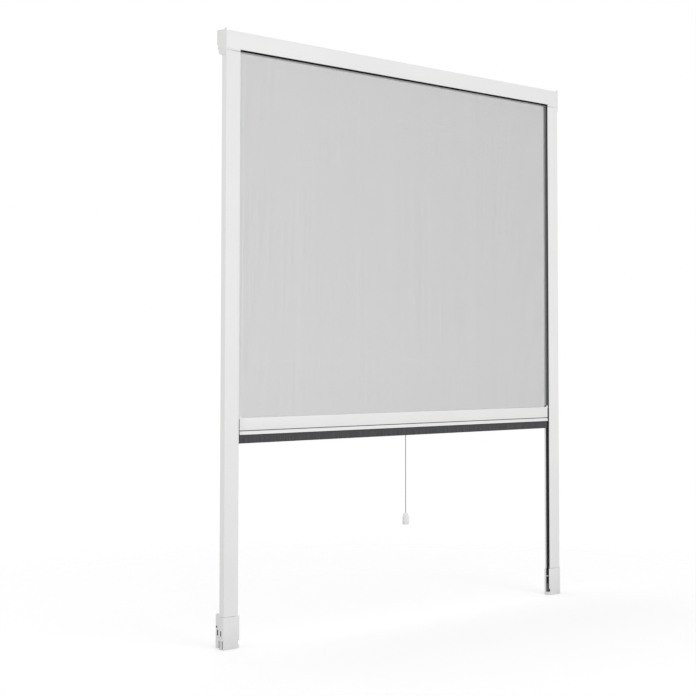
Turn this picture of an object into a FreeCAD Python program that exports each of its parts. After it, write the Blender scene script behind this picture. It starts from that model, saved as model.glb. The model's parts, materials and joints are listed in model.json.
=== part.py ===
import FreeCAD, Part
import math
import os

os.makedirs("parts", exist_ok=True)

# Roller insect screen for a window, in millimetres.
# +Z is up, +X is to the right and the front faces -Y. The origin is at the middle of the foot.

# Size over the end caps
overall_width = 1152.0
overall_height = 1400.0
# Top of the cassette down to the top edge of the pull bar
bar_drop = 883.5

# Play between pieces that are put together, and between a shaft and its bore
fit_gap = 0.3
running_gap = 0.05

# Cassette: housing, end plates and the skirt behind each rail
cassette_height = 42.0
cassette_depth = 35.0
cassette_wall = 1.3
housing_inset = 1.0
cap_plate = 1.5
cap_height = 50.0
cap_ear = 3.2
cap_ear_base = 8.0
cap_rear_rise = 2.0
rear_chamfer = 3.5
rear_upper_height = 31.0
rear_step = 6.5
rear_slant = 6.8
skirt_drop = 7.5
skirt_slant = 4.0
skirt_slant_depth = 9.5
floor_depth = 13.0
cap_plug_length = 9.5
cap_plug_wall = 2.0

# Guide rail
rail_width = 40.0
rail_depth = 17.2
rail_inset = 0.8
rail_wall = 1.0
rail_flange = 4.6
flange_wall = 1.2
channel_reach = 21.3
web_wall = 1.2
rail_corner = 0.9
rail_seam = 0.4
spigot_length = 30.0
spigot_wall = 1.6

# Brush strips: backing, pile and the lips that hold them
rail_strip_width = 4.0
rail_strip_backing = 0.8
rail_pile = 3.4
rail_pile_gap = 4.8
strip_lip = 0.7
cassette_strip_width = 3.2
cassette_strip_backing = 1.0
cassette_pile = 2.0
cassette_pile_drop = 3.7
holder_wall = 1.0
bar_strip_width = 7.4
bar_strip_backing = 1.8
bar_pile = 6.0
bar_pile_drop = 20.0
bar_pile_in_slot = 8.0

# Pull bar
bar_depth = 9.5
bar_set_back = 3.5
bar_face_height = 29.0
bar_groove = 2.0
bar_groove_depth = 5.5
bar_lip_height = 7.8
bar_lip_slope = 1.1
bar_wall = 1.3
bar_top_radius = 2.0
rod_radius = 2.2
rod_depth = 5.6
glider_plate = 9.0
glider_to_rail = 4.0
glider_ear = 2.0
glider_ear_height = 3.0
glider_tongue = 3.0
glider_height = 25.0
glider_head_play = 0.6
glider_head_side_play = 1.7
glider_finger_length = 6.5
glider_finger = 2.2

# Mesh: a wall with ridges and gaps that stands for the woven net
mesh_wall = 0.5
mesh_ridge = 0.3
mesh_ridge_width = 3.0
mesh_in_channel = 15.0
mesh_columns = 10
mesh_rows = 9
mesh_gap_share = 0.5
fabric_thickness = 0.28
fabric_left_on_roll = 480.0

# Roller
tube_diameter = 16.0
tube_wall = 0.8
tube_end_space = 17.0
plug_length = 18.0
plug_flange = 2.0
journal_radius = 3.0
boss_radius = 6.0
spring_rod_radius = 2.5
spring_rod_reach = 270.0
spring_rod_head = 6.0
anchor_length = 12.0
anchor_radius = 6.0
spring_outer_radius = 5.6
spring_wire = 1.4
spring_end_coils = 8.0
spring_body_radius = 5.3

# Bottom cap and the catch in it
bottom_cap_height = 72.0
bottom_cap_depth = 29.0
cap_lap = 3.5
tab_height = 80.0
tab_corner = 5.0
foot_height = 17.5
foot_step = 4.0
foot_chamfer = 2.5
channel_floor = 8.0
liner_width = 11.0
liner_thickness = 1.2
rib_height = 50.5
rib_thickness = 2.0
rib_reach = 4.0
rib_end_play = 0.6
side_groove_height = 26.0
side_groove = 1.0
side_pocket_depth = 3.0
catch_width = 6.5
catch_height = 31.0
catch_thickness = 1.6
catch_nose = 1.0
catch_nose_height = 3.0
clamp_block_width = 12.0
clamp_block_low = 28.0
clamp_block_high = 56.0
lock_block_high = 44.0

# Fixing hole through each side tab and the block behind it
fixing_hole_radius = 2.5
fixing_hole_depth = 25.5
fixing_hole_height = 49.5

# Cord and its pull
cord_radius = 1.0
cord_behind_bar = 2.2
cord_hole_play = 0.25
knot_radius = 1.8
knot_height = 3.4
eyelet_width = 16.0
eyelet_height = 6.0
eyelet_depth = 4.4
eyelet_drop = 25.0
cord_drop = 253.5
pull_height = 29.0
pull_radius = 8.3
pull_shoulder_radius = 8.0
pull_neck_radius = 2.2
pull_dome_height = 13.0
pull_knot_room = 3.4
pull_ring_height = 11.0
pull_wall = 1.5

# Places that follow from the sizes
half_width = overall_width / 2
front = -cassette_depth / 2
rear = cassette_depth / 2
housing_half = half_width - cap_plate
rail_outer = half_width - cap_plate
rail_mouth = rail_outer - rail_width
rail_front = front + rail_inset
rail_rear = rail_front + rail_depth
channel_front = rail_front + rail_wall
channel_rear = rail_rear - rail_flange
channel_end = rail_mouth + channel_reach
chamber_start = channel_end + web_wall
chamber_end = rail_outer - rail_wall
cassette_bottom = overall_height - cassette_height
rail_top = overall_height - cap_height
mesh_plane = (channel_front + channel_rear) / 2
mesh_front = mesh_plane - mesh_wall / 2
mesh_back = mesh_plane + mesh_wall / 2 + mesh_ridge
bar_top = overall_height - bar_drop
bar_bottom = bar_top - bar_face_height - bar_groove - bar_lip_height
bar_front = front + bar_set_back
bar_rear = bar_front + bar_depth
bar_middle = bar_front + bar_depth / 2
bar_half = rail_mouth - glider_to_rail - glider_plate
rod_height = bar_top - rod_depth
tube_radius = tube_diameter / 2
tube_bore = tube_radius - tube_wall
roll_radius = math.sqrt(tube_radius**2 + fabric_thickness * fabric_left_on_roll / math.pi)
roller_y = mesh_back + fit_gap + roll_radius
roller_z = overall_height - cassette_height / 2
tube_half = housing_half - tube_end_space
mesh_half = rail_mouth + mesh_in_channel
cord_y = bar_rear + cord_behind_bar
cap_inner = rail_mouth - cap_lap


def block(x0, x1, y0, y1, z0, z1):
    corner = FreeCAD.Vector(x0, y0, z0)
    return Part.makeBox(x1 - x0, y1 - y0, z1 - z0, corner)


def along_x(points, x0, x1):
    """A closed outline in Y and Z, drawn out from x0 to x1."""
    corners = [FreeCAD.Vector(x0, y, z) for y, z in points]
    wire = Part.makePolygon(corners + corners[:1])
    return Part.Face(wire).extrude(FreeCAD.Vector(x1 - x0, 0, 0))


def along_y(points, y0, y1):
    """A closed outline in X and Z, drawn out from y0 to y1."""
    corners = [FreeCAD.Vector(x, y0, z) for x, z in points]
    wire = Part.makePolygon(corners + corners[:1])
    return Part.Face(wire).extrude(FreeCAD.Vector(0, y1 - y0, 0))


def along_z(points, z0, z1):
    """A closed outline in X and Y, drawn out from z0 to z1."""
    corners = [FreeCAD.Vector(x, y, z0) for x, y in points]
    wire = Part.makePolygon(corners + corners[:1])
    return Part.Face(wire).extrude(FreeCAD.Vector(0, 0, z1 - z0))


def rod_x(radius, x0, x1, y, z):
    return Part.makeCylinder(radius, x1 - x0, FreeCAD.Vector(x0, y, z), FreeCAD.Vector(1, 0, 0))


def turned(profile, x, y):
    """A closed outline in radius and height, turned about an upright axis at x, y."""
    corners = [FreeCAD.Vector(x + r, y, z) for r, z in profile]
    wire = Part.makePolygon(corners + corners[:1])
    return Part.Face(wire).revolve(FreeCAD.Vector(x, y, 0), FreeCAD.Vector(0, 0, 1), 360)


def round_edges(shape, radius, wanted):
    """The shape with a fillet on each straight edge whose middle is wanted."""
    edges = [e for e in shape.Edges if wanted(e)]
    return shape.makeFillet(radius, edges)


def runs_along(edge, axis):
    direction = edge.tangentAt(edge.FirstParameter)
    return abs(direction.dot(axis)) > 0.999


def to_left(shape):
    return shape.mirror(FreeCAD.Vector(0, 0, 0), FreeCAD.Vector(1, 0, 0))


def save(name, shape):
    clean = shape.removeSplitter()
    clean.exportStep("parts/" + name + ".step")


AXIS_X = FreeCAD.Vector(1, 0, 0)
AXIS_Z = FreeCAD.Vector(0, 0, 1)


# Cassette housing: a drawn aluminium box, open below for the mesh, with a
# holder for the brush strip at the foot of its front wall.
holder_depth = cassette_strip_width + 2 * holder_wall
holder_height = cassette_strip_backing + 2 * holder_wall
strip_front = mesh_front - fit_gap - holder_depth + holder_wall
pile_middle = strip_front + cassette_strip_width / 2


def cassette_housing():
    y0, y1 = front + housing_inset, rear - housing_inset
    z0, z1 = cassette_bottom, overall_height - housing_inset
    outer = [
        (y0, z0),
        (y1, z0),
        (y1, z1 - rear_chamfer),
        (y1 - rear_chamfer, z1),
        (y0, z1),
    ]
    body = along_x(outer, -housing_half, housing_half)
    front_top = lambda e: (
        runs_along(e, AXIS_X) and abs(e.CenterOfMass.z - z1) < 0.01 and abs(e.CenterOfMass.y - y0) < 0.01
    )
    body = round_edges(body, cassette_wall, front_top)
    inner = [
        (y0 + cassette_wall, z0 + cassette_wall),
        (y1 - cassette_wall, z0 + cassette_wall),
        (y1 - cassette_wall, z1 - rear_chamfer - cassette_wall / 2),
        (y1 - rear_chamfer - cassette_wall / 2, z1 - cassette_wall),
        (y0 + cassette_wall, z1 - cassette_wall),
    ]
    body = body.cut(along_x(inner, -housing_half, housing_half))
    mouth_front = strip_front + cassette_strip_width + holder_wall
    body = body.cut(
        block(
            -housing_half,
            housing_half,
            y0 + cassette_wall,
            y1 - floor_depth,
            z0,
            z0 + cassette_wall,
        )
    )
    holder = block(-housing_half, housing_half, y0, mouth_front, z0, z0 + holder_height)
    body = body.fuse(holder)
    seat = block(
        -housing_half,
        housing_half,
        strip_front,
        strip_front + cassette_strip_width,
        z0 + holder_wall,
        z0 + holder_wall + cassette_strip_backing,
    )
    slit = block(
        -housing_half,
        housing_half,
        pile_middle - cassette_pile / 2 - fit_gap / 2,
        pile_middle + cassette_pile / 2 + fit_gap / 2,
        z0,
        z0 + holder_wall,
    )
    body = body.cut(seat).cut(slit)
    # Each end is cut back so that the cap's spigots reach down into the rail.
    notch = block(
        rail_mouth,
        housing_half,
        y0 + cassette_wall,
        y1 - cassette_wall,
        z0,
        z0 + holder_height,
    )
    return body.cut(notch).cut(to_left(notch))


# Cassette brush strip, from rail mouth to rail mouth.
def cassette_brush():
    z0 = cassette_bottom
    backing = block(
        -rail_mouth,
        rail_mouth,
        strip_front,
        strip_front + cassette_strip_width,
        z0 + holder_wall,
        z0 + holder_wall + cassette_strip_backing,
    )
    pile = block(
        -rail_mouth,
        rail_mouth,
        pile_middle - cassette_pile / 2,
        pile_middle + cassette_pile / 2,
        z0 - cassette_pile_drop,
        z0 + holder_wall,
    )
    return backing.fuse(pile)


def spigots(z0, z1):
    """The two plugs that an end cap pushes into a rail: a tube and a flat blade."""
    x0, x1 = chamber_start + fit_gap, chamber_end - fit_gap
    y0, y1 = channel_front + fit_gap, channel_rear - fit_gap
    plug = block(x0, x1, y0, y1, z0, z1)
    hollow = block(
        x0 + spigot_wall, x1 - spigot_wall, y0 + spigot_wall, y1 - spigot_wall, z0, z1
    )
    blade = block(
        chamber_start + fit_gap,
        chamber_end - fit_gap,
        channel_rear + flange_wall + fit_gap,
        rail_rear - flange_wall - fit_gap,
        z0,
        z1,
    )
    return plug.cut(hollow), blade


# Cassette end cap: an end plate with a stepped rear edge and a small ear, a
# plug in the housing, a boss for the roller, an apron between housing and
# rail, and spigots in the rail below.
def cassette_cap_body():
    z1 = overall_height
    y_low = rear - rear_step
    plate_outline = [
        (front, rail_top - skirt_drop),
        (y_low - skirt_slant_depth, rail_top - skirt_drop),
        (y_low, rail_top - skirt_drop + skirt_slant),
        (y_low, z1 - rear_upper_height - rear_slant),
        (rear, z1 - rear_upper_height),
        (rear, z1),
        (rear - rear_chamfer, z1 + cap_rear_rise),
        (front + cap_ear_base, z1),
        (front + cap_ear_base - cap_ear, z1 + cap_ear),
        (front, z1 + cap_ear),
    ]
    body = along_x(plate_outline, housing_half, half_width)
    inset = housing_inset + cassette_wall + fit_gap
    x0 = housing_half - cap_plug_length
    y0, y1 = front + inset, rear - inset
    z_low = cassette_bottom + holder_height + fit_gap
    z_high = z1 - inset
    cut_corner = rear_chamfer + cap_plug_wall / 2
    plug_outline = [
        (y0, z_low),
        (y1, z_low),
        (y1, z_high - cut_corner),
        (y1 - cut_corner, z_high),
        (y0, z_high),
    ]
    plug = along_x(plug_outline, x0, housing_half)
    w = cap_plug_wall
    hollow_outline = [
        (y0 + w, z_low + w),
        (y1 - w, z_low + w),
        (y1 - w, z_high - cut_corner),
        (y1 - cut_corner, z_high - w),
        (y0 + w, z_high - w),
    ]
    plug = plug.cut(along_x(hollow_outline, x0, housing_half))
    boss = rod_x(boss_radius, x0, housing_half, roller_y, roller_z)
    ribs = block(
        x0 + cap_plug_length / 2, housing_half, roller_y - w / 2, roller_y + w / 2, z_low, z_high
    )
    tube, blade = spigots(rail_top - spigot_length, rail_top)
    apron = block(
        rail_mouth, housing_half, front + housing_inset, rail_rear, rail_top, cassette_bottom
    )
    channel = block(
        rail_mouth, channel_end, channel_front, channel_rear, rail_top, cassette_bottom
    )
    neck = block(
        chamber_start + fit_gap,
        housing_half,
        y0,
        rail_rear - flange_wall - fit_gap,
        rail_top,
        z_low + w,
    )
    return body.fuse([plug, boss, ribs, tube, blade, neck, apron.cut(channel)])


def right_cassette_cap():
    side = spring_rod_head + 2 * running_gap
    socket = block(
        housing_half - cap_plug_length,
        housing_half + cap_plate / 2,
        roller_y - side / 2,
        roller_y + side / 2,
        roller_z - side / 2,
        roller_z + side / 2,
    )
    return cassette_cap_body().cut(socket)


def left_cassette_cap():
    bore = rod_x(
        journal_radius + running_gap,
        housing_half - cap_plug_length,
        housing_half,
        roller_y,
        roller_z,
    )
    return to_left(cassette_cap_body().cut(bore))


# Roller: tube, the net wound on it, and a plug in each end.
def winding_tube():
    tube = rod_x(tube_radius, -tube_half, tube_half, roller_y, roller_z)
    return tube.cut(rod_x(tube_bore, -tube_half, tube_half, roller_y, roller_z))


def mesh_roll():
    roll = rod_x(roll_radius, -mesh_half, mesh_half, roller_y, roller_z)
    return roll.cut(rod_x(tube_radius, -mesh_half, mesh_half, roller_y, roller_z))


def tube_plug():
    """The plug at the right end, without its bore or journal."""
    inner = rod_x(tube_bore, tube_half - plug_length, tube_half, roller_y, roller_z)
    flange = rod_x(tube_radius, tube_half, tube_half + plug_flange, roller_y, roller_z)
    return inner.fuse(flange)


def idler_plug():
    journal_end = housing_half - running_gap - fit_gap
    journal = rod_x(journal_radius, tube_half, journal_end, roller_y, roller_z)
    return to_left(tube_plug().fuse(journal))


def drive_bush():
    bore = rod_x(
        spring_rod_radius + running_gap,
        tube_half - plug_length,
        tube_half + plug_flange,
        roller_y,
        roller_z,
    )
    return tube_plug().cut(bore)


# Winding spring: a fixed rod held in the right cap, an anchor pinned on its
# inner end, and the close-wound spring between the anchor and the bush. The
# spring is a tube here, thicker where its end coils grip.
rod_inner = housing_half - spring_rod_reach
spring_start = rod_inner + anchor_length + fit_gap
spring_end = tube_half - plug_length - fit_gap


def spring_rod():
    rod = rod_x(
        spring_rod_radius, rod_inner, housing_half - cap_plug_length, roller_y, roller_z
    )
    head = block(
        housing_half - cap_plug_length,
        housing_half,
        roller_y - spring_rod_head / 2,
        roller_y + spring_rod_head / 2,
        roller_z - spring_rod_head / 2,
        roller_z + spring_rod_head / 2,
    )
    return rod.fuse(head)


def spring_anchor():
    collar = rod_x(anchor_radius, rod_inner, rod_inner + anchor_length, roller_y, roller_z)
    bore = rod_x(spring_rod_radius, rod_inner, rod_inner + anchor_length, roller_y, roller_z)
    return collar.cut(bore)


def torsion_spring():
    body = rod_x(spring_body_radius, spring_start, spring_end, roller_y, roller_z)
    for x in (spring_start, spring_end - spring_end_coils):
        coils = rod_x(spring_outer_radius, x, x + spring_end_coils, roller_y, roller_z)
        body = body.fuse(coils)
    inner = spring_body_radius - spring_wire
    return body.cut(rod_x(inner, spring_start, spring_end, roller_y, roller_z))


# Guide rail: an outer chamber for the spigots, a guide channel open to the
# inside, a hollow rear flange, and lips that hold two brush strips.
def guide_rail():
    z0, z1 = bottom_cap_height, rail_top - rail_seam
    body = block(rail_mouth, rail_outer, rail_front, rail_rear, z0, z1)
    body = round_edges(body, rail_corner, lambda e: runs_along(e, AXIS_Z))
    channel = block(rail_mouth, channel_end, channel_front, channel_rear, z0, z1)
    chamber = block(chamber_start, chamber_end, channel_front, channel_rear, z0, z1)
    flange = block(
        rail_mouth + flange_wall,
        chamber_end,
        channel_rear + flange_wall,
        rail_rear - flange_wall,
        z0,
        z1,
    )
    body = body.cut(channel).cut(chamber).cut(flange)
    inner_lip = rail_mouth + strip_lip + rail_strip_width
    for x in (rail_mouth, inner_lip):
        for y in (channel_front, channel_rear - rail_strip_backing):
            lip = block(x, x + strip_lip, y, y + rail_strip_backing, z0, z1)
            body = body.fuse(lip)
    return body


pile_reach = (channel_rear - channel_front - rail_pile_gap) / 2


def rail_brush(y_wall, inwards):
    """A strip on the channel wall at y_wall, with its pile towards the mesh."""
    z0, z1 = bottom_cap_height, rail_top - rail_seam
    x0 = rail_mouth + strip_lip
    middle = x0 + rail_strip_width / 2
    y_back = y_wall + inwards * rail_strip_backing
    y_tip = y_wall + inwards * pile_reach
    backing = block(
        x0, x0 + rail_strip_width, min(y_wall, y_back), max(y_wall, y_back), z0, z1
    )
    root = rail_pile / 2
    tip = rail_pile / 2 + rail_strip_backing / 2
    outline = [
        (middle - root, y_back),
        (middle + root, y_back),
        (middle + tip, y_tip),
        (middle - tip, y_tip),
    ]
    return backing.fuse(along_z(outline, z0, z1))


# Bottom cap: body with the channel running on, a side tab behind the rail, a
# step in its foot, and slots in its side over the two black blocks.
liner_start = rail_mouth + strip_lip
liner_end = liner_start + liner_width
liner_front = channel_rear - liner_thickness
tab_rear = front + bottom_cap_depth
head_start = rail_mouth + 2 * strip_lip + rail_strip_width + glider_head_play
rib_end = head_start - rib_end_play

# Depths from the front, widths and heights of what is cut in the cap's side
lock_slit_depth = 8.2
lock_slit = 3.4
lock_slit_low = 30.0
lock_slit_high = 41.5
clamp_slot_depth = 19.4
clamp_slot = 4.2
clamp_slot_low = 30.5
clamp_slot_high = 43.0
foot_pocket_low = 3.5
foot_pocket_high = 20.0
foot_pockets = ((1.9, 3.2), (11.4, 2.0), (15.2, 2.0))


def bottom_cap():
    body_outline = [
        (cap_inner, 0),
        (half_width - foot_chamfer, 0),
        (half_width, foot_chamfer),
        (half_width, bottom_cap_height),
        (cap_inner, bottom_cap_height),
    ]
    body = along_y(body_outline, front, rail_rear)
    vertical_front = lambda e: (
        runs_along(e, AXIS_Z) and abs(e.CenterOfMass.y - front) < 0.01
    )
    body = round_edges(body, rail_corner, vertical_front)
    step = block(cap_inner, cap_inner + foot_step, front, channel_front, 0, foot_height)
    body = body.cut(step)
    tab_outline = [
        (rail_front, foot_chamfer),
        (tab_rear, foot_chamfer),
        (tab_rear, tab_height - tab_corner),
        (tab_rear - tab_corner, tab_height),
        (rail_rear + fit_gap, tab_height),
        (rail_rear + fit_gap, bottom_cap_height),
        (rail_front, bottom_cap_height),
    ]
    tab = along_x(tab_outline, rail_outer, half_width)
    tube, blade = spigots(bottom_cap_height, bottom_cap_height + spigot_length)
    body = body.fuse([tab, tube, blade])
    channel = block(
        cap_inner, channel_end, channel_front, channel_rear, channel_floor, bottom_cap_height
    )
    # The hollow that holds the lock block.
    pocket = block(
        chamber_start,
        chamber_end,
        channel_front,
        channel_rear,
        foot_pocket_high + web_wall,
        bottom_cap_height - web_wall,
    )
    rib = block(
        cap_inner,
        rib_end,
        channel_rear - rib_reach,
        channel_rear,
        rib_height,
        rib_height + rib_thickness,
    )
    return body.cut(channel).cut(pocket).fuse(rib).cut(side_cuts())


def side_cuts():
    slit = block(
        chamber_end,
        half_width,
        front + lock_slit_depth,
        front + lock_slit_depth + lock_slit,
        lock_slit_low,
        lock_slit_high,
    )
    slot = block(
        rail_outer,
        half_width,
        front + clamp_slot_depth,
        front + clamp_slot_depth + clamp_slot,
        clamp_slot_low,
        clamp_slot_high,
    )
    groove = block(
        half_width - side_groove,
        half_width,
        front + rail_corner,
        tab_rear,
        side_groove_height,
        side_groove_height + side_groove,
    )
    cuts = [slot, groove, fixing_hole()]
    for depth, width in foot_pockets:
        y0 = front + depth
        cuts.append(
            block(
                half_width - side_pocket_depth,
                half_width,
                y0,
                y0 + width,
                foot_pocket_low,
                foot_pocket_high,
            )
        )
    return slit.fuse(cuts)


def fixing_hole():
    return rod_x(
        fixing_hole_radius,
        rail_outer - clamp_block_width,
        half_width,
        front + fixing_hole_depth,
        fixing_hole_height,
    )


# Channel liner: black, flush in the rear wall of the cap's channel. The cap's
# rib fills the slot in it.
def channel_liner():
    plate = block(
        liner_start, liner_end, liner_front, channel_rear, channel_floor, bottom_cap_height
    )
    slot = block(
        liner_start,
        rib_end + fit_gap,
        liner_front,
        channel_rear,
        rib_height - fit_gap,
        rib_height + rib_thickness + fit_gap,
    )
    return plate.cut(slot)


# Catch: a grey spring leaf on the liner, with a foot on the channel floor and
# a nose at its top beside the path of the brush ends.
def catch_insert():
    back = liner_front
    face = back - catch_thickness
    nose_low = catch_height - 2 * catch_nose_height
    outline = [
        (back, channel_floor),
        (back, catch_height),
        (face, catch_height),
        (face - catch_nose, catch_height - catch_nose_height),
        (face, nose_low),
        (face, channel_floor + catch_nose_height),
        (face - catch_nose, channel_floor),
    ]
    return along_x(outline, liner_start, liner_start + catch_width)


# Clamp block: black, on the inner face of the tab behind the rail. The fixing
# screw goes through both.
def clamp_block():
    body = block(
        rail_outer - clamp_block_width,
        rail_outer,
        rail_rear + fit_gap,
        tab_rear,
        clamp_block_low,
        clamp_block_high,
    )
    return body.cut(fixing_hole())


# Lock block: black, in the hollow of the cap behind the side slit.
def lock_block():
    return block(
        chamber_start + fit_gap,
        chamber_end,
        channel_front + fit_gap,
        channel_rear - fit_gap,
        foot_pocket_high + web_wall,
        lock_block_high,
    )


# Pull bar profile: a flat face with a rounded top edge, a shadow groove, a
# lower lip, a round seat for the retaining rod and a holder for the brush.
lip_top = bar_bottom + bar_lip_height
plate_end = rail_mouth - glider_to_rail


def bar_section(x0, x1):
    """The outside of the bar, shared by the profile and its end pieces."""
    outline = [
        (bar_front, bar_top),
        (bar_front, lip_top + bar_groove),
        (bar_front + bar_groove_depth, lip_top + bar_groove),
        (bar_front + bar_groove_depth, lip_top),
        (bar_front, lip_top),
        (bar_front - bar_lip_slope, bar_bottom + bar_wall),
        (bar_front - bar_lip_slope, bar_bottom),
        (bar_rear, bar_bottom),
        (bar_rear, bar_top),
    ]
    body = along_x(outline, x0, x1)
    top_edges = lambda e: runs_along(e, AXIS_X) and abs(e.CenterOfMass.z - bar_top) < 0.01
    return round_edges(body, bar_top_radius, top_edges)


def pull_bar_profile():
    body = bar_section(-bar_half, bar_half)
    seat_radius = rod_radius + fit_gap
    seat = rod_x(seat_radius, -bar_half, bar_half, mesh_plane, rod_height)
    slit_half = mesh_wall / 2 + mesh_ridge + fit_gap
    slit = block(
        -bar_half, bar_half, mesh_plane - slit_half, mesh_plane + slit_half, rod_height, bar_top
    )
    hollow = block(
        -bar_half,
        bar_half,
        bar_front + bar_wall,
        bar_rear - bar_wall,
        lip_top + bar_groove + bar_wall,
        rod_height - seat_radius - bar_wall,
    )
    strip_seat = block(
        -bar_half,
        bar_half,
        bar_middle - bar_strip_width / 2,
        bar_middle + bar_strip_width / 2,
        bar_bottom + bar_wall,
        bar_bottom + bar_wall + bar_strip_backing,
    )
    strip_slit = block(
        -bar_half,
        bar_half,
        bar_middle - bar_pile / 2 - fit_gap / 2,
        bar_middle + bar_pile / 2 + fit_gap / 2,
        bar_bottom,
        bar_bottom + bar_wall,
    )
    return body.cut(seat).cut(slit).cut(hollow).cut(strip_seat).cut(strip_slit)


# Brush strip under the bar. At each end a thin stretch of the pile reaches
# into the rail's slot, between the rail's own brushes.
def pull_bar_brush():
    backing = block(
        -bar_half,
        bar_half,
        bar_middle - bar_strip_width / 2,
        bar_middle + bar_strip_width / 2,
        bar_bottom + bar_wall,
        bar_bottom + bar_wall + bar_strip_backing,
    )
    tip = bar_bottom - bar_pile_drop
    stem = block(
        -bar_half,
        bar_half,
        bar_middle - bar_pile / 2,
        bar_middle + bar_pile / 2,
        bar_bottom - fit_gap,
        bar_bottom + bar_wall,
    )
    pile = block(
        -plate_end,
        plate_end,
        bar_middle - bar_pile / 2,
        bar_middle + bar_pile / 2,
        tip,
        bar_bottom - fit_gap,
    )
    ends = block(
        -rail_mouth - bar_pile_in_slot,
        rail_mouth + bar_pile_in_slot,
        mesh_plane - glider_tongue / 2,
        mesh_plane + glider_tongue / 2,
        tip,
        bar_bottom - fit_gap,
    )
    return backing.fuse([stem, pile, ends])


# End piece of the bar: a plug in the profile and a plate with the bar's own
# outside and a small ear at its top.
def bar_end_piece():
    plate = bar_section(bar_half, plate_end)
    ear = block(
        bar_half, plate_end + glider_ear, bar_front, bar_rear, bar_top - glider_ear_height, bar_top
    )
    ear_edges = lambda e: (
        e.CenterOfMass.z > bar_top - glider_ear_height + 0.01
        and e.CenterOfMass.x > plate_end + glider_ear - 0.01
        and runs_along(e, FreeCAD.Vector(0, 1, 0))
    )
    ear = round_edges(ear, glider_ear, ear_edges)
    plug = block(
        bar_half - plug_length,
        bar_half,
        bar_front + bar_wall + fit_gap,
        bar_rear - bar_wall - fit_gap,
        lip_top + bar_groove + bar_wall + fit_gap,
        rod_height - rod_radius - 2 * fit_gap - bar_wall,
    )
    return plate.fuse([ear, plug])


# Runner: black, face to face with the end piece. A thin tongue goes through
# the brushes, and a head with a finger below it runs in the channel.
def bar_runner():
    z1 = bar_top - glider_ear_height - bar_top_radius
    z0 = z1 - glider_height
    head_end = channel_end - glider_head_play
    tongue = block(
        plate_end, head_end, mesh_plane - glider_tongue / 2, mesh_plane + glider_tongue / 2, z0, z1
    )
    head = block(
        head_start,
        head_end,
        channel_front + glider_head_side_play,
        channel_rear - glider_head_side_play,
        z0,
        z1,
    )
    finger = block(
        head_start,
        head_start + glider_finger,
        mesh_plane - glider_tongue,
        mesh_plane + glider_tongue,
        z0 - glider_finger_length,
        z0,
    )
    return tongue.fuse([head, finger])


def mesh_retaining_rod():
    return rod_x(rod_radius, -bar_half, bar_half, mesh_plane, rod_height)


# The mesh: one wall that hangs from the roller to the hem in the bar. Its
# lower corners are cut out above the gliders.
def screen_mesh():
    top = roller_z
    hem = rod_height + rod_radius + fit_gap
    side_foot = bar_top + fit_gap
    inner = bar_half - fit_gap
    outline = [
        (-inner, hem),
        (inner, hem),
        (inner, side_foot),
        (mesh_half, side_foot),
        (mesh_half, top),
        (-mesh_half, top),
        (-mesh_half, side_foot),
        (-inner, side_foot),
    ]
    wall = along_y(outline, mesh_front, mesh_front + mesh_wall)
    low, high = side_foot, cassette_bottom
    cell_x = 2 * rail_mouth / mesh_columns
    cell_z = (high - low) / mesh_rows
    gap_x = cell_x * mesh_gap_share
    gap_z = cell_z * mesh_gap_share
    gaps = []
    for column in range(mesh_columns):
        x = -rail_mouth + (column + 0.5) * cell_x
        for row in range(mesh_rows):
            z = low + (row + 0.5) * cell_z
            gaps.append(
                block(
                    x - gap_x / 2,
                    x + gap_x / 2,
                    mesh_front,
                    mesh_front + mesh_wall,
                    z - gap_z / 2,
                    z + gap_z / 2,
                )
            )
    wall = wall.cut(Part.makeCompound(gaps))
    ridges = []
    for column in range(mesh_columns + 1):
        x = -rail_mouth + column * cell_x
        ridges.append(
            block(
                x - mesh_ridge_width / 2,
                x + mesh_ridge_width / 2,
                mesh_front + mesh_wall,
                mesh_back,
                low,
                high,
            )
        )
    for row in range(1, mesh_rows):
        z = low + row * cell_z
        ridges.append(
            block(
                -rail_mouth,
                rail_mouth,
                mesh_front + mesh_wall,
                mesh_back,
                z - mesh_ridge_width / 2,
                z + mesh_ridge_width / 2,
            )
        )
    return wall.fuse(ridges)


# Cord eyelet: a small block on the rear of the bar, pierced for the cord.
eyelet_top = bar_top - eyelet_drop


def cord_eyelet():
    z0 = eyelet_top - eyelet_height
    body = block(
        -eyelet_width / 2, eyelet_width / 2, bar_rear, bar_rear + eyelet_depth, z0, eyelet_top
    )
    rear_corners = lambda e: (
        runs_along(e, AXIS_Z) and e.CenterOfMass.y > bar_rear + eyelet_depth / 2
    )
    body = round_edges(body, eyelet_depth / 2, rear_corners)
    hole = Part.makeCylinder(
        cord_radius + cord_hole_play, eyelet_height, FreeCAD.Vector(0, cord_y, z0)
    )
    return body.cut(hole)


# Pull cord: it hangs straight, from the top of the eyelet into the pull.
pull_top = bar_top - cord_drop
pull_bottom = pull_top - pull_height
pull_web = 2 * pull_wall
cord_end = pull_top - pull_web


def pull_cord():
    foot = FreeCAD.Vector(0, cord_y, cord_end)
    return Part.makeCylinder(cord_radius, eyelet_top - cord_end, foot)


def cord_knots():
    knots = []
    for z in (eyelet_top, cord_end - knot_height):
        knots.append(Part.makeCylinder(knot_radius, knot_height, FreeCAD.Vector(0, cord_y, z)))
    return Part.makeCompound(knots)


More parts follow.
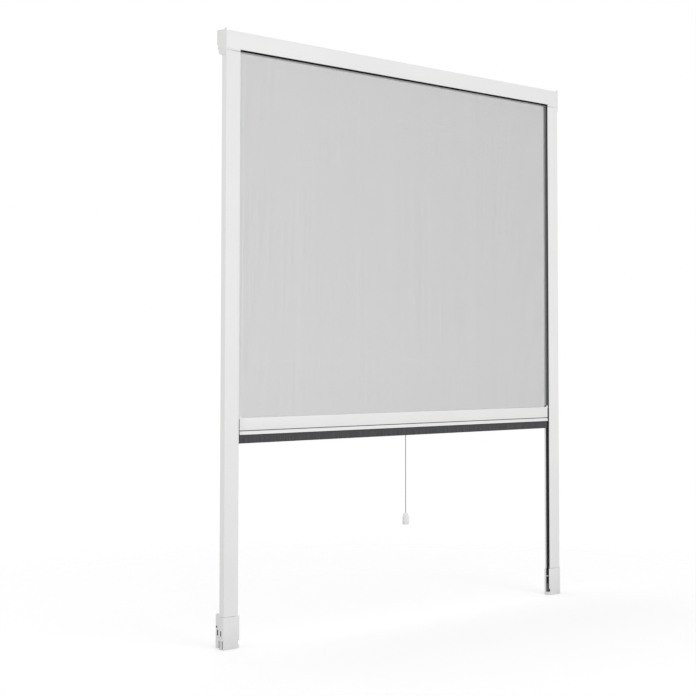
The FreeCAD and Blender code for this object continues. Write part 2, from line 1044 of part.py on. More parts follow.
# Cord pull: a moulded bell, hollow below, with a straight ring at its foot.
def cord_pull():
    ring_top = pull_bottom + pull_ring_height
    shoulder = pull_top - pull_dome_height
    bore = cord_radius + cord_hole_play
    outside = [(bore, pull_top), (pull_neck_radius, pull_top)]
    spread = pull_shoulder_radius - pull_neck_radius
    bend = (
        pull_neck_radius + spread * math.sqrt(0.5),
        shoulder + pull_dome_height * math.sqrt(0.5),
    )
    outside += [
        bend,
        (pull_shoulder_radius, shoulder),
        (pull_shoulder_radius, ring_top),
        (pull_radius, ring_top),
        (pull_radius, pull_bottom),
    ]
    room = pull_shoulder_radius - pull_wall
    inside = [
        (room, pull_bottom),
        (room, shoulder),
        (pull_knot_room, shoulder),
        (pull_knot_room, pull_top - pull_web),
        (bore, pull_top - pull_web),
    ]
    return turned(outside + inside, 0, cord_y)


save("cassette_housing", cassette_housing())
save("cassette_brush", cassette_brush())
save("left_cassette_cap", left_cassette_cap())
save("right_cassette_cap", right_cassette_cap())
save("winding_tube", winding_tube())
save("mesh_roll", mesh_roll())
save("idler_plug", idler_plug())
save("drive_bush", drive_bush())
save("spring_rod", spring_rod())
save("spring_anchor", spring_anchor())
save("torsion_spring", torsion_spring())
save("pull_bar_profile", pull_bar_profile())
save("pull_bar_brush", pull_bar_brush())
save("mesh_retaining_rod", mesh_retaining_rod())
save("screen_mesh", screen_mesh())
save("cord_eyelet", cord_eyelet())
save("pull_cord", pull_cord())
save("cord_pull", cord_pull())
cord_knots().exportStep("parts/cord_knots.step")

# Pieces made once for the right side and mirrored for the left
for piece, shape in (
    ("guide_rail", guide_rail()),
    ("front_rail_brush", rail_brush(channel_front, 1)),
    ("rear_rail_brush", rail_brush(channel_rear, -1)),
    ("bottom_cap", bottom_cap()),
    ("channel_liner", channel_liner()),
    ("catch_insert", catch_insert()),
    ("clamp_block", clamp_block()),
    ("lock_block", lock_block()),
    ("bar_end_piece", bar_end_piece()),
    ("bar_runner", bar_runner()),
):
    save("right_" + piece, shape)
    save("left_" + piece, to_left(shape))
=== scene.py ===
import json
import math
import random

import bpy
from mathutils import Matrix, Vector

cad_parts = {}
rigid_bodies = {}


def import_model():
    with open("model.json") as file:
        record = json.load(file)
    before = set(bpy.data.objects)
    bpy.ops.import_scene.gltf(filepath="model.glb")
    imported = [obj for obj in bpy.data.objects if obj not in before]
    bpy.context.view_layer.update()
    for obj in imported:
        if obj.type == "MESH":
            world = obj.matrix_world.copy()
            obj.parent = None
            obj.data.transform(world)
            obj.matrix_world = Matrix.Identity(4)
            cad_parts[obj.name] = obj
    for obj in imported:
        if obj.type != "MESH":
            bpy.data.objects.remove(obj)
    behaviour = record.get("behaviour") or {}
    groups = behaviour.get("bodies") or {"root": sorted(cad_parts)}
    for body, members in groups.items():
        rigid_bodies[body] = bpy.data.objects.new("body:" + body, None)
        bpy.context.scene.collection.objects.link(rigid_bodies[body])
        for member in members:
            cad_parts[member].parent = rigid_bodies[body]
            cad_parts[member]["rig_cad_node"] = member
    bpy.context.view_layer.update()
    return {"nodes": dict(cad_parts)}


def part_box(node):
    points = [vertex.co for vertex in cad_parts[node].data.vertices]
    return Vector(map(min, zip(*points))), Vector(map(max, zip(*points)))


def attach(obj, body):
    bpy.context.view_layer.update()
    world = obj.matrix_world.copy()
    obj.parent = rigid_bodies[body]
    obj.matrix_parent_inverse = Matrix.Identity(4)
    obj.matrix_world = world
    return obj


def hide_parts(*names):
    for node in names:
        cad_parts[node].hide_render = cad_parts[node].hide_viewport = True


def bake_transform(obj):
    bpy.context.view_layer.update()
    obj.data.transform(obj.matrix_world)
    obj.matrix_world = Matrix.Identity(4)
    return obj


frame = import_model()
bpy.ops.object.select_all(action="DESELECT")


# Camera: low in front of the left rail, looking along the screen to the right.
# The place, the turn and the lens come from a fit to both rails, the cassette
# and the caps.
bpy.ops.object.camera_add(
    location=(-2.4617, -2.5863, 0.6603),
    rotation=(math.radians(92.522), math.radians(-0.068), math.radians(-41.276)),
)
camera = bpy.context.object
camera.data.sensor_width = 36
camera.data.lens = 72.911
camera.data.shift_y = -0.07996
camera.data.clip_end = 60
bpy.context.scene.camera = camera


# Pull cord: a thin braided cord that hangs straight from the eyelet on the
# back of the bar into the bell pull.
class Value:
    """A number, colour or vector in a material, with + and * as Math nodes, and a number minus it."""

    def __init__(self, tree, socket):
        self.tree = tree
        self.socket = socket

    def node(self, kind, settings=None, inputs=None, output=0):
        """Any other node: its settings are set first, then its sockets."""
        made = self.tree.nodes.new(kind)
        for name, value in (settings or {}).items():
            if name == "stops":
                ramp = made.color_ramp
                while len(ramp.elements) < len(value):
                    ramp.elements.new(0.5)
                for element, (place, colour) in zip(ramp.elements, value):
                    element.position = place
                    element.color = (*colour, 1)
            else:
                setattr(made, name, value)
        for name, value in (inputs or {}).items():
            if isinstance(value, Value):
                self.tree.links.new(value.socket, made.inputs[name])
            else:
                made.inputs[name].default_value = value
        return Value(self.tree, made.outputs[output])

    def maths(self, operation, first, second=0.0):
        return self.node("ShaderNodeMath", {"operation": operation}, {0: first, 1: second})

    def __add__(self, other):
        return self.maths("ADD", self, other)

    def __mul__(self, other):
        return self.maths("MULTIPLY", self, other)

    def __rsub__(self, other):
        return self.maths("SUBTRACT", other, self)

    __radd__ = __add__
    __rmul__ = __mul__


def start_material(name, roughness=0.5, metallic=0.0):
    """A new material, its shader and the place on the object in metres."""
    material = bpy.data.materials.new(name)
    material.use_nodes = True
    shader = material.node_tree.nodes["Principled BSDF"]
    shader.inputs["Roughness"].default_value = roughness
    shader.inputs["Metallic"].default_value = metallic
    place = Value(material.node_tree, None).node("ShaderNodeTexCoord", output="Object")
    return material, shader, place


def feed(shader, name, value):
    value.tree.links.new(value.socket, shader.inputs[name])


def stretched(place, x, y, z):
    """The place with each direction enlarged, for grain that runs one way."""
    return place.node("ShaderNodeMapping", None, {"Vector": place, "Scale": (x, y, z)})


def noise(place, scale, detail=2.0):
    return place.node(
        "ShaderNodeTexNoise", None, {"Vector": place, "Scale": scale, "Detail": detail}
    )


def bump(height, distance, strength=1.0):
    return height.node(
        "ShaderNodeBump", None, {"Height": height, "Distance": distance, "Strength": strength}, "Normal"
    )


def shade_between(amount, dark, light):
    return amount.node(
        "ShaderNodeValToRGB", {"stops": [(0.3, dark), (0.7, light)]}, {"Fac": amount}, "Color"
    )


cord_low, cord_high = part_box("pull_cord")
cord_y = (cord_low.y + cord_high.y) / 2
cord_thickness = cord_high.x - cord_low.x
cord_top = cord_high.z
cord_foot = cord_low.z

cord_line = bpy.data.curves.new("pull_cord_line", "CURVE")
cord_line.dimensions = "3D"
cord_line.bevel_depth = cord_thickness / 2
cord_line.bevel_resolution = 4
cord_line.resolution_u = 24
cord_line.use_fill_caps = True
cord_spline = cord_line.splines.new("NURBS")
cord_heights = (cord_top, cord_top - 0.011, 0.300, cord_foot)
cord_spline.points.add(len(cord_heights) - 1)
for point, height in zip(cord_spline.points, cord_heights):
    point.co = (0, cord_y, height, 1)
cord_spline.order_u = 3
cord_spline.use_endpoint_u = True
cord = bpy.data.objects.new("braided_pull_cord", cord_line)
bpy.context.collection.objects.link(cord)

braid, shader, place = start_material("grey_braided_cord", 0.75)
lay = stretched(place, 1, 1, 1).node(
    "ShaderNodeTexWave",
    {"wave_type": "BANDS", "bands_direction": "DIAGONAL"},
    {"Vector": place, "Scale": 260.0, "Distortion": 1.5},
    "Fac",
)
feed(shader, "Base Color", shade_between(lay, (0.22, 0.22, 0.22), (0.32, 0.32, 0.32)))
feed(shader, "Normal", bump(lay, 0.0002))
cord.data.materials.append(braid)
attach(cord, "pull_bar")
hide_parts("pull_cord")


# Bell pull: a hollow moulding in white plastic, domed above and with a
# straight ring at its foot. It is threaded on the cord and held by a knot.
def finish_piece(name, material, body, nodes=()):
    """The active piece gets its name, material and place in the assembly."""
    piece = bpy.context.object
    piece.name = name
    piece.data.name = name
    piece.data.materials.append(material)
    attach(piece, body)
    if nodes:
        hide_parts(*nodes)
    bpy.ops.object.select_all(action="DESELECT")
    return piece


def apply_modifiers():
    for modifier in list(bpy.context.object.modifiers):
        bpy.ops.object.modifier_apply(modifier=modifier.name)


pull_low, pull_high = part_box("cord_pull")
pull_radius = (pull_high.x - pull_low.x) / 2
pull_height = pull_high.z - pull_low.z
ring_height = 0.011
pull_wall = 0.0015
dome_height = 0.013
shoulder_radius = pull_radius - 0.0004

bpy.ops.mesh.primitive_circle_add(
    vertices=40, radius=0.0012, fill_type="NOTHING", location=(0, cord_y, pull_high.z - 0.0004)
)
bpy.ops.object.transform_apply(location=True)
bpy.ops.object.mode_set(mode="EDIT")


def next_ring(old_radius, radius, drop, height):
    """Draws the open edge on to the next ring of the bell."""
    bpy.ops.mesh.extrude_region_move(TRANSFORM_OT_translate={"value": (0, 0, -drop)})
    grow = radius / old_radius
    bpy.ops.transform.resize(value=(grow, grow, 1), center_override=(0, cord_y, height))


shape = [(0.0012, 0.0004), (0.0017, 0.0), (0.0022, 0.0002)]
for step in range(1, 9):
    turn = math.pi / 2 * step / 8
    shape.append(
        (
            0.0022 + (shoulder_radius - 0.0022) * math.sin(turn),
            0.0002 + (dome_height - 0.0002) * (1 - math.cos(turn)),
        )
    )
shape += [
    (shoulder_radius, pull_height - ring_height - 0.0001),
    (pull_radius, pull_height - ring_height + 0.0002),
    (pull_radius, pull_height - 0.0006),
    (pull_radius - 0.0005, pull_height),
    (pull_radius - pull_wall, pull_height),
    (shoulder_radius - pull_wall, pull_height - ring_height),
    (shoulder_radius - pull_wall, dome_height),
    (0.0050, 0.0058),
    (0.0022, 0.0032),
    (0.0012, 0.0030),
]
for (old_radius, old_drop), (radius, drop) in zip(shape, shape[1:]):
    next_ring(old_radius, radius, drop - old_drop, pull_high.z - drop)
# The last ring runs up the bore to the first one, and the two are merged.
next_ring(0.0012, 0.0012, shape[0][1] - shape[-1][1], pull_high.z - shape[0][1])
bpy.ops.mesh.select_all(action="SELECT")
bpy.ops.mesh.remove_doubles(threshold=0.00002)
bpy.ops.mesh.normals_make_consistent(inside=False)
bpy.ops.object.mode_set(mode="OBJECT")
bpy.ops.object.shade_smooth_by_angle(angle=math.radians(40))

white_plastic, shader, place = start_material("white_moulded_plastic", 0.48)
mottle = noise(place, 35.0, 3.0)
feed(shader, "Base Color", shade_between(mottle, (0.815, 0.815, 0.81), (0.835, 0.835, 0.83)))
feed(shader, "Normal", bump(noise(place, 2600.0), 0.00003, 0.5))
shader.inputs["Specular IOR Level"].default_value = 0.4
bell = finish_piece("bell_pull", white_plastic, "pull_bar", ["cord_pull"])


# Knots: the cord is knotted above the eyelet and again inside the bell.
knots_low, knots_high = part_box("cord_knots")
knot_radius = (knots_high.x - knots_low.x) / 2
for number, height in (
    (1, knots_high.z - knot_radius),
    (2, knots_low.z + knot_radius),
):
    knot_line = bpy.data.curves.new("knot_line", "CURVE")
    knot_line.dimensions = "3D"
    knot_line.bevel_depth = 0.00055
    knot_line.bevel_resolution = 2
    knot_line.resolution_u = 4
    knot_spline = knot_line.splines.new("NURBS")
    knot_points = 18
    knot_spline.points.add(knot_points - 1)
    for index, point in enumerate(knot_spline.points):
        turn = 2 * math.pi * index / knot_points
        size = knot_radius / 3 * 0.7
        point.co = (
            size * (math.sin(turn) + 2 * math.sin(2 * turn)),
            cord_y + size * (math.cos(turn) - 2 * math.cos(2 * turn)),
            height - size * 1.6 * math.sin(3 * turn),
            1,
        )
    knot_spline.order_u = 4
    knot_spline.use_cyclic_u = True
    knot = bpy.data.objects.new("cord_knot_%d" % number, knot_line)
    bpy.context.collection.objects.link(knot)
    knot.data.materials.append(braid)
    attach(knot, "pull_bar")
    if number == 1:
        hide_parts("cord_knots")


# Mesh: coated threads in a plain weave, about 18 by 16 to the inch. It comes
# off the roller and ends in a hem that a rod holds in the bar.
mesh_low, mesh_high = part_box("screen_mesh")
bar_low, bar_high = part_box("pull_bar_profile")
thread = 0.00028
upright_pitch = 0.0014
level_pitch = 0.0016
mesh_plane = mesh_low.y + 0.00035
side_foot = bar_high.z + 0.0003
hem_half = bar_high.x - 0.0003


def add_box(low, high):
    """A box between two corners, with its object left at the origin."""
    size = [b - a for a, b in zip(low, high)]
    middle = [(a + b) / 2 for a, b in zip(low, high)]
    bpy.ops.mesh.primitive_cube_add(size=1, location=middle, scale=size)
    bpy.ops.object.transform_apply(location=True, rotation=False, scale=True)
    return bpy.context.object


def in_a_row(count, step):
    """Repeats the active piece along one direction."""
    row = bpy.context.object.modifiers.new("row", "ARRAY")
    row.count = count
    row.use_relative_offset = False
    row.use_constant_offset = True
    row.constant_offset_displace = step
    bpy.ops.object.modifier_apply(modifier=row.name)


def thread_set(low, high, pitch, upright):
    """Parallel threads that fill a stretch of the mesh."""
    run = (high[0] - low[0]) if upright else (high[1] - low[1])
    count = int(run / pitch + 0.01)
    spare = (run - (count - 1) * pitch - thread) / 2
    if upright:
        x = low[0] + spare
        add_box((x, mesh_plane - thread, low[1]), (x + thread, mesh_plane, high[1]))
        # The cut ends of a thread stay open, out of sight in the bar and the cassette.
        bpy.ops.object.mode_set(mode="EDIT")
        bpy.ops.mesh.select_mode(type="FACE")
        bpy.ops.mesh.select_all(action="DESELECT")
        bpy.ops.object.mode_set(mode="OBJECT")
        for face in bpy.context.object.data.polygons:
            face.select = abs(face.normal.z) > 0.9
        bpy.ops.object.mode_set(mode="EDIT")
        bpy.ops.mesh.delete(type="ONLY_FACE")
        bpy.ops.object.mode_set(mode="OBJECT")
        in_a_row(count, (pitch, 0, 0))
    else:
        z = low[1] + spare
        add_box((low[0], mesh_plane - 0.00002, z), (high[0], mesh_plane + thread, z + thread))
        in_a_row(count, (0, 0, pitch))
    return bpy.context.object


threads = [
    thread_set((-hem_half, mesh_low.z), (hem_half, mesh_high.z), upright_pitch, True),
    thread_set((mesh_low.x, side_foot), (-hem_half, mesh_high.z), upright_pitch, True),
    thread_set((hem_half, side_foot), (mesh_high.x, mesh_high.z), upright_pitch, True),
]
for part in threads:
    part.select_set(True)
bpy.context.view_layer.objects.active = threads[0]
bpy.ops.object.join()
net = bpy.context.object
net.name = "woven_mesh"
net.data.name = "woven_mesh"
bpy.ops.object.select_all(action="DESELECT")

thread_coat, shader, place = start_material("grey_coated_thread", 0.6)
across = noise(stretched(place, 160.0, 1.0, 0.6), 1.0, 3.0)
feed(shader, "Base Color", shade_between(across, (0.25, 0.25, 0.25), (0.31, 0.31, 0.31)))
# The cross threads go in three bands, each a piece of its own.
drop = mesh_high.z - side_foot
band = 81 * level_pitch
bands = (
    ("low", side_foot, side_foot + band, side_foot + 0.6138 * drop, side_foot),
    (
        "middle",
        side_foot + band,
        mesh_high.z - band,
        mesh_high.z + 0.1847 * drop,
        side_foot - 0.1847 * drop,
    ),
    ("high", mesh_high.z - band, mesh_high.z, mesh_high.z, mesh_high.z - 0.6138 * drop),
)
cross_threads = []
for name, low, high, still, carried in bands:
    strands = thread_set((mesh_low.x, low), (mesh_high.x, high), level_pitch, False)
    if name == "low":
        hem = thread_set((-hem_half, mesh_low.z), (hem_half, side_foot), level_pitch, False)
        for part in (strands, hem):
            part.select_set(True)
        bpy.context.view_layer.objects.active = strands
        bpy.ops.object.join()
    strands.name = "cross_threads_" + name
    bpy.ops.object.select_all(action="DESELECT")
    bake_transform(strands)
    cross_threads.append(strands)
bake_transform(net)
for piece in [net, *cross_threads]:
    piece.data.materials.append(thread_coat)
    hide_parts("screen_mesh")


# Pull bar: a drawn aluminium profile with a white powder coat, a plastic end
# piece plugged in each end, and a rod that keeps the hem of the mesh.
def dress(names, material, slot=None):
    """A finish for pieces that come from the frame."""
    for name in names:
        piece = frame["nodes"][name]
        piece.data.materials.clear()
        piece.data.materials.append(material)


def eased_copy(name, body, material, width, moves=()):
    """A copy of a piece from the frame, with its loose corners merged, some
    corners moved, and a small round on each sharp edge."""
    source = frame["nodes"][name]
    source.select_set(True)
    bpy.context.view_layer.objects.active = source
    bpy.ops.object.duplicate()
    piece = bpy.context.object
    del piece["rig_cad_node"]
    piece.data.materials.clear()
    bpy.ops.object.mode_set(mode="EDIT")
    bpy.ops.mesh.select_all(action="SELECT")
    bpy.ops.mesh.remove_doubles(threshold=0.000002)
    bpy.ops.mesh.dissolve_limited(angle_limit=math.radians(1))
    bpy.ops.mesh.customdata_custom_splitnormals_clear()
    for wanted, step in moves:
        bpy.ops.mesh.select_mode(type="VERT")
        bpy.ops.mesh.select_all(action="DESELECT")
        bpy.ops.object.mode_set(mode="OBJECT")
        for corner in piece.data.vertices:
            corner.select = wanted(corner.co)
        bpy.ops.object.mode_set(mode="EDIT")
        bpy.ops.transform.translate(value=step)
    bpy.ops.object.mode_set(mode="OBJECT")
    ease = piece.modifiers.new("ease", "BEVEL")
    ease.width = width
    ease.segments = 2
    ease.limit_method = "ANGLE"
    ease.angle_limit = math.radians(35)
    apply_modifiers()
    bpy.ops.object.shade_smooth_by_angle(angle=math.radians(32))
    return finish_piece("eased_" + name, material, body, [name])


white_coat, shader, place = start_material("white_powder_coat", 0.36)
cloud = noise(stretched(place, 1.0, 6.0, 1.0), 9.0, 3.0)
feed(shader, "Base Color", shade_between(cloud, (0.835, 0.835, 0.83), (0.855, 0.855, 0.85)))
grain = noise(place, 1300.0, 2.0)
feed(shader, "Roughness", grain * 0.1 + 0.32)
feed(shader, "Normal", bump(grain, 0.00004, 0.4))
bar_profile = eased_copy("pull_bar_profile", "pull_bar", white_coat, 0.0003)

grey_plastic, shader, place = start_material("grey_moulded_plastic", 0.5)
mottle = noise(place, 40.0, 3.0)
feed(shader, "Base Color", shade_between(mottle, (0.41, 0.41, 0.41), (0.45, 0.45, 0.45)))
feed(shader, "Normal", bump(noise(place, 2200.0), 0.00003, 0.5))
dress(["mesh_retaining_rod"], grey_plastic)
dress(["cord_eyelet"], white_plastic)
end_pieces = [
    eased_copy(side + "_bar_end_piece", "pull_bar", white_plastic, 0.0003)
    for side in ("left", "right")
]
# The groove that runs along the bar gets a dark grey coat: painted shade, where hardly any light gets
# in.
painted_shade_coat, shader, place = start_material("painted_shade_in_recesses", 0.7)
cloud = noise(stretched(place, 1.0, 6.0, 1.0), 9.0, 3.0)
feed(shader, "Base Color", shade_between(cloud, (0.34, 0.34, 0.34), (0.38, 0.38, 0.38)))
# The lip below the groove and the top edge get a whiter coat: a painted highlight.
painted_highlight_coat, shader, place = start_material("painted_highlight_on_edges", 0.3)
cloud = noise(stretched(place, 1.0, 6.0, 1.0), 9.0, 3.0)
feed(shader, "Base Color", shade_between(cloud, (0.92, 0.92, 0.92), (0.94, 0.94, 0.94)))
groove_low = bar_low.z + 0.0078
# Groove faces take the painted shade, and the lip and top edge faces the painted highlight.
for piece in [bar_profile, *end_pieces]:
    piece.data.materials.append(painted_shade_coat)
    piece.data.materials.append(painted_highlight_coat)
    for face in piece.data.polygons:
        at = face.center
        deep = bar_low.y + 0.0014 < at.y < bar_low.y + 0.0068
        if deep and groove_low - 0.0001 < at.z < groove_low + 0.0021:
            face.material_index = 1
        if at.y < bar_low.y + 0.0005 and not groove_low < at.z < bar_high.z - 0.0005:
            face.material_index = 2

# Ear: a low hook on each end piece that leads the edge of the mesh into the
# slot. Beside the right one stands a black block: painted shade, for the dark
# gap at the end of the bar.


# Runners: black nylon, fixed to the bar's end pieces. They slide in the slots
# of the guide rails.
black_plastic, shader, place = start_material("black_moulded_plastic", 0.55)
mottle = noise(place, 60.0, 3.0)
feed(shader, "Base Color", shade_between(mottle, (0.018, 0.018, 0.019), (0.03, 0.03, 0.031)))
feed(shader, "Normal", bump(noise(place, 2200.0), 0.00003, 0.5))
dress(["left_bar_runner", "right_bar_runner"], black_plastic)


def small_block(name, low, high, material, round_edge):
    """A little moulding on the end of the bar, with rounded edges."""
    piece = add_box(low, high)
    edge = piece.modifiers.new("edge", "BEVEL")
    edge.width = round_edge
    edge.segments = 3
    apply_modifiers()
    bpy.ops.object.shade_smooth_by_angle(angle=math.radians(40))
    return finish_piece(name, material, "pull_bar", ())


end_low, end_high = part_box("right_bar_end_piece")
for side, way in (("left", -1), ("right", 1)):
    hook_x = sorted((way * (end_high.x - 0.0065), way * (end_high.x - 0.0002)))
    small_block(
        side + "_bar_ear",
        (hook_x[0], bar_low.y + 0.0013, bar_high.z - 0.0010),
        (hook_x[1], mesh_plane - 0.0009, bar_high.z + 0.0034),
        white_plastic,
        0.0008,
    )
# A black block beside the right ear: painted shade in the gap at the end of the bar.
small_block(
    "right_bar_painted_shade_block",
    (end_high.x - 0.0115, bar_low.y + 0.0016, bar_high.z - 0.0005),
    (end_high.x - 0.0067, mesh_plane - 0.0009, bar_high.z + 0.0038),
    black_plastic,
    0.0005,
)


# Bar brush: a dense pile of dark filament in a backing strip that slides in
# the foot of the bar. It closes the gap to the sill.
def make_pile(name, material, body, nodes, low, high, tip, across, pitch=0.0008, seed=1):
    """Tufts in a row from low to high. Each tuft is a slim wedge whose point
    stands a little out of line, and a group of sixteen repeats."""
    random.seed(seed)
    along = 2 if high[2] - low[2] > high[0] - low[0] else 0
    length = high[along] - low[along]
    group = 16
    repeats = int(length / (pitch * group))
    step = length / (repeats * group)
    tufts = []
    for index in range(group):
        for side in (0, 1):
            a, b = list(low), list(high)
            a[along] = low[along] + (index + 0.25 * side) * step
            b[along] = a[along] + step * 1.15
            middle = (low[across] + high[across]) / 2
            if side:
                a[across] = middle - (high[across] - low[across]) * 0.08
            else:
                b[across] = middle + (high[across] - low[across]) * 0.08
            tuft = add_box(a, b)
            bpy.ops.object.mode_set(mode="EDIT")
            bpy.ops.mesh.select_all(action="DESELECT")
            bpy.ops.object.mode_set(mode="OBJECT")
            for vertex in tuft.data.vertices:
                vertex.select = abs(vertex.co[tip[0]] - tip[1]) < 1e-6
            bpy.ops.object.mode_set(mode="EDIT")
            lean = [0.0, 0.0, 0.0]
            lean[along] = random.uniform(-0.25, 0.25) * step
            lean[tip[0]] = random.uniform(0, 1) * tip[2]
            bpy.ops.transform.translate(value=lean)
            bpy.ops.object.mode_set(mode="OBJECT")
            tufts.append(tuft)
    for tuft in tufts:
        tuft.select_set(True)
    bpy.context.view_layer.objects.active = tufts[0]
    bpy.ops.object.join()
    shift = [0.0, 0.0, 0.0]
    shift[along] = step * group
    in_a_row(repeats, shift)
    return finish_piece(name, material, body, nodes)


sill_pile, shader, place = start_material("dark_grey_pile", 0.85)
streak = noise(stretched(place, 900.0, 900.0, 40.0), 1.0, 2.0)
feed(shader, "Base Color", shade_between(streak, (0.045, 0.045, 0.047), (0.105, 0.105, 0.11)))

brush_low, brush_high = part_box("pull_bar_brush")
pile_front = (bar_low.y + 0.0011 + bar_high.y) / 2 - 0.003
rail_low, rail_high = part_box("right_guide_rail")
pile_half = rail_low.x - 0.0040
strip_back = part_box("right_rear_rail_brush")[1].y
mesh_middle = (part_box("right_front_rail_brush")[0].y + strip_back) / 2
make_pile(
    "bar_brush_pile",
    sill_pile,
    "pull_bar",
    ["pull_bar_brush"],
    (-pile_half, pile_front, brush_low.z + 0.0006),
    (pile_half, pile_front + 0.006, bar_low.z + 0.0010),
    (2, brush_low.z + 0.0006, -0.0006),
    across=1,
    pitch=0.0009,
)


# Guide rails: drawn aluminium with the same white coat. Two strips of dark
# pile stand in each slot and close on the edge of the mesh.
flange_reach = 0.0018
pile_gap = 0.0038
rail_foot_gap = 0.0006
rail_top_rise = 0.0028
for side, inwards in (("left", 1), ("right", -1)):
    rail = side + "_guide_rail"
    eased_copy(
        rail,
        "frame",
        white_coat,
        0.0003,
        [
            (
                lambda at: abs(at.x) < rail_low.x + 0.0001 and at.y > strip_back - 0.0010,
                (inwards * flange_reach, 0, 0),
            ),
            (lambda at: at.z < rail_low.z + 0.0001, (0, 0, rail_foot_gap)),
            (lambda at: at.z > rail_high.z - 0.0001, (0, 0, rail_top_rise)),
        ],
    )
slot_pile, shader, place = start_material("black_pile", 0.9)
streak = noise(stretched(place, 900.0, 900.0, 40.0), 1.0, 2.0)
# Near the mesh the tips of the strips are painted lighter grey: painted light, for the lit inside of the
# slot that shows between the strips.
depth = place.node("ShaderNodeSeparateXYZ", None, {"Vector": place}, "Y")
tips = depth.node(
    "ShaderNodeMath", {"operation": "COMPARE"}, {0: depth, 1: mesh_middle, 2: pile_gap / 2 + 0.0004}
)
streaks_and_painted_tip_light = [
    (0.15, (0.004, 0.004, 0.004)),
    (0.35, (0.014, 0.014, 0.015)),
    (0.65, (0.06, 0.06, 0.06)),
    (0.85, (0.11, 0.11, 0.11)),
]
shade = streak.node("ShaderNodeValToRGB", {"stops": streaks_and_painted_tip_light}, {"Fac": streak * 0.5 + tips * 0.5}, "Color")
feed(shader, "Base Color", shade)
shader.inputs["Specular IOR Level"].default_value = 0.12
for side, mirror in (("left", -1), ("right", 1)):
    for strip, seed in (("front", 3), ("rear", 5)):
        node = side + "_" + strip + "_rail_brush"
        strip_low, strip_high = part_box(node)
        x0, x1 = strip_low.x, strip_high.x
        if strip == "rear":
            x0, x1 = (x0, x1 + flange_reach) if side == "left" else (x0 - flange_reach, x1)
        if strip == "front":
            tip_y, spread = mesh_middle - pile_gap / 2, 0.0003
            y0, y1 = strip_low.y, tip_y
        else:
            tip_y, spread = mesh_middle + pile_gap / 2, -0.0003
            y0, y1 = tip_y, strip_high.y
        make_pile(
            node + "_pile",
            slot_pile,
            "frame",
            [node],
            (x0, y0, strip_low.z + rail_foot_gap),
            (x1, y1, strip_high.z + rail_top_rise),
            (1, tip_y, -spread),
            across=0,
            pitch=0.0011,
            seed=seed,
        )


# Cassette: a drawn aluminium box with moulded end caps, and a strip of pile
# in the foot of its front wall that wipes the mesh.
eased_copy("cassette_housing", "frame", white_coat, 0.0003)
apron_foot = rail_high.z + 0.0004
for side in ("left", "right"):
    eased_copy(
        side + "_cassette_cap",
        "frame",
        white_plastic,
        0.0003,
        [(lambda at: abs(at.z - apron_foot) < 0.0001, (0, 0, 0.0032))],
    )
wipe_low, wipe_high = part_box("cassette_brush")
make_pile(
    "cassette_brush_pile",
    slot_pile,
    "frame",
    ["cassette_brush"],
    (wipe_low.x, wipe_low.y + 0.0006, wipe_low.z),
    (wipe_high.x, wipe_high.y - 0.0006, wipe_high.z),
    (2, wipe_low.z, 0.0004),
    across=1,
    pitch=0.0009,
    seed=7,
)


# Roller: an aluminium tube with the rest of the mesh wound on it, a plug in
# each end, and a steel rod with the winding spring inside.
bare_metal, shader, place = start_material("bare_aluminium", 0.35, 1.0)
drawn = noise(stretched(place, 4.0, 700.0, 700.0), 1.0, 2.0)
feed(shader, "Base Color", shade_between(drawn, (0.7, 0.71, 0.72), (0.8, 0.81, 0.82)))
feed(shader, "Roughness", drawn * 0.2 + 0.25)
dress(["winding_tube"], bare_metal)

wound, shader, place = start_material("wound_mesh", 0.7)
turns = noise(stretched(place, 500.0, 60.0, 60.0), 1.0, 2.0)
feed(shader, "Base Color", shade_between(turns, (0.2, 0.2, 0.2), (0.27, 0.27, 0.27)))
feed(shader, "Normal", bump(turns, 0.0002, 0.6))
dress(["mesh_roll"], wound)

steel, shader, place = start_material("bright_steel", 0.3, 1.0)
wire_marks = noise(stretched(place, 30.0, 900.0, 900.0), 1.0, 2.0)
feed(shader, "Base Color", shade_between(wire_marks, (0.5, 0.5, 0.5), (0.62, 0.62, 0.62)))
feed(shader, "Roughness", wire_marks * 0.2 + 0.22)
dress(["spring_rod"], steel)
dress(["idler_plug", "drive_bush", "spring_anchor"], grey_plastic)

spring_low, spring_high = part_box("torsion_spring")
spring_radius = (spring_high.z - spring_low.z) / 2
spring_y = (spring_low.y + spring_high.y) / 2
spring_z = (spring_low.z + spring_high.z) / 2
spring_wire = 0.0013
spring_turns = 100
steps = 10
spring_line = bpy.data.curves.new("spring_line", "CURVE")
spring_line.dimensions = "3D"
spring_line.bevel_depth = spring_wire / 2
spring_line.bevel_resolution = 1
spring_line.resolution_u = 1
spring_line.use_fill_caps = True
coil = spring_line.splines.new("POLY")
coil.points.add(spring_turns * steps)
reach = spring_high.x - spring_low.x - spring_wire
for index, point in enumerate(coil.points):
    turn = 2 * math.pi * index / steps
    radius = spring_radius - spring_wire / 2
    point.co = (
        spring_low.x + spring_wire / 2 + reach * index / (spring_turns * steps),
        spring_y + radius * math.cos(turn),
        spring_z + radius * math.sin(turn),
        1,
    )
spring = bpy.data.objects.new("winding_spring", spring_line)
bpy.context.collection.objects.link(spring)
spring.data.materials.append(steel)
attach(spring, "frame")
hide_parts("torsion_spring")


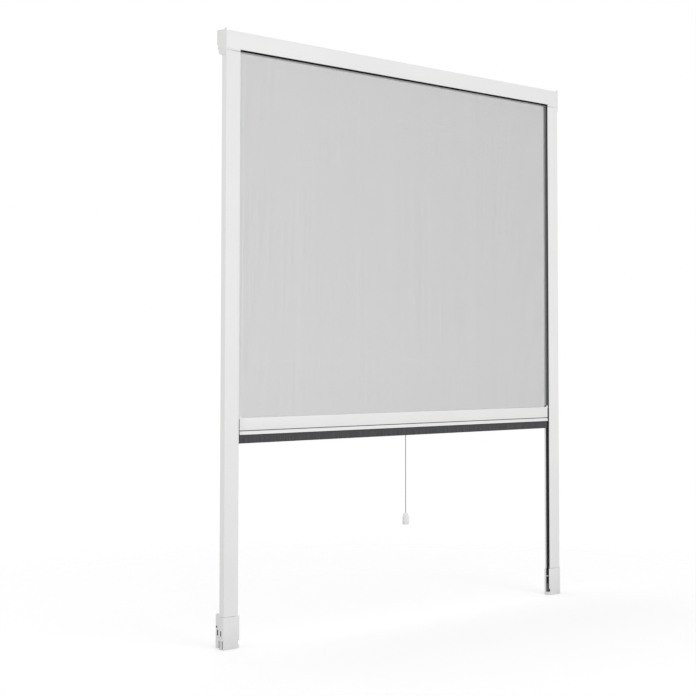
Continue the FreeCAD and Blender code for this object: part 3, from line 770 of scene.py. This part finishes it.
# Bottom caps: white mouldings with a slotted side, and in each a grey catch
# that holds the bar when it is pulled right down.
catch_plastic, shader, place = start_material("dark_grey_moulded_plastic", 0.55)
mottle = noise(place, 60.0, 3.0)
feed(shader, "Base Color", shade_between(mottle, (0.14, 0.14, 0.14), (0.17, 0.17, 0.17)))
feed(shader, "Normal", bump(noise(place, 2200.0), 0.00003, 0.5))
cap_plastic, shader, place = start_material("bottom_cap_plastic", 0.5)
mottle = noise(place, 30.0, 2.0)
feed(shader, "Base Color", shade_between(mottle, (0.775, 0.778, 0.772), (0.795, 0.798, 0.792)))
feed(shader, "Normal", bump(noise(place, 1800.0), 0.00003, 0.4))
liner_low, liner_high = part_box("right_channel_liner")
cap_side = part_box("right_bottom_cap")[1].x
for side, inwards in (("left", 1), ("right", -1)):
    cap = eased_copy(side + "_bottom_cap", "frame", cap_plastic, 0.0003)
    # The pockets in the side get the painted shade coat, and the walls of the slots and the fixing hole
    # get black plastic: painted shade, for the dark inside them.
    cap.data.materials.append(painted_shade_coat)
    cap.data.materials.append(black_plastic)
    for face in cap.data.polygons:
        at = face.center
        in_wall = cap_side - 0.0031 < abs(at.x) < cap_side - 0.0001 and abs(at.y) < 0.0165
        if in_wall and 0.0034 < at.z < 0.0201:
            face.material_index = 1
        if in_wall and abs(at.x) > cap_side - 0.0030 and 0.0295 < at.z < 0.0530:
            face.material_index = 2
    reach = [(lambda at: abs(at.x) < liner_low.x + 0.0001, (inwards * 0.0023, 0, 0))]
    eased_copy(side + "_channel_liner", "frame", black_plastic, 0.0001, reach)
    eased_copy(side + "_catch_insert", "frame", catch_plastic, 0.0002, reach)
    # The clamp and lock blocks are black plastic; their black behind the slots and the fixing hole is
    # also painted shade.
    dress([side + "_clamp_block", side + "_lock_block"], black_plastic)


# Floor, backdrop and light: a pale floor, a white room and three soft lamps.
bpy.ops.mesh.primitive_plane_add(size=12, location=(0, 0, 0))
floor = bpy.context.object
floor.name = "floor"
floor_paint, shader, place = start_material("pale_floor", 0.9)
shader.inputs["Base Color"].default_value = (0.75, 0.75, 0.75, 1)
output = floor_paint.node_tree.nodes["Material Output"]
away = place.node("ShaderNodeVectorMath", {"operation": "LENGTH"}, {0: place}, "Value")
far = away.node(
    "ShaderNodeMapRange", None, {"Value": away, "From Min": 0.7, "From Max": 1.6}, "Result"
)
clear = away.node("ShaderNodeBsdfTransparent")
seen = away.node("ShaderNodeLightPath", output="Is Camera Ray")
glow = away.node("ShaderNodeEmission", None, {"Strength": seen * 0.325})
matt = Value(floor_paint.node_tree, shader.outputs[0])
lit = away.node("ShaderNodeAddShader", None, {0: matt, 1: glow})
faded = away.node("ShaderNodeMixShader", None, {0: far, 1: lit, 2: clear})
floor_paint.node_tree.links.new(faded.socket, output.inputs["Surface"])
floor.data.materials.append(floor_paint)

world = bpy.data.worlds.new("white_room")
bpy.context.scene.world = world
world.use_nodes = True
nodes = world.node_tree.nodes
background = nodes["Background"]
background.inputs["Color"].default_value = (1, 1, 1, 1)
path = nodes.new("ShaderNodeLightPath")
seen = Value(world.node_tree, path.outputs["Is Camera Ray"])
room_light = 0.75
world.node_tree.links.new(
    (seen * (1 - room_light) + room_light).socket, background.inputs["Strength"]
)


def soft_lamp(name, place, aim, size, power):
    bpy.ops.object.light_add(type="AREA", location=place)
    lamp = bpy.context.object
    lamp.name = name
    lamp.data.size = size
    lamp.data.energy = power
    direction = [b - a for a, b in zip(place, aim)]
    level = math.hypot(direction[0], direction[1])
    lamp.rotation_euler = (
        math.pi / 2 + math.atan2(direction[2], level),
        0,
        math.atan2(-direction[0], direction[1]),
    )


soft_lamp("front_lamp", (0.1, -3.7, 1.2), (0, 0, 0.6), 2.4, 35)
soft_lamp("top_lamp", (0.0, 0.9, 3.2), (0, 0, 0.5), 1.6, 9)
soft_lamp("left_lamp", (-3.4, 0.6, 1.8), (0, 0, 0.7), 2.0, 11)

bpy.context.scene.view_settings.view_transform = "Standard"
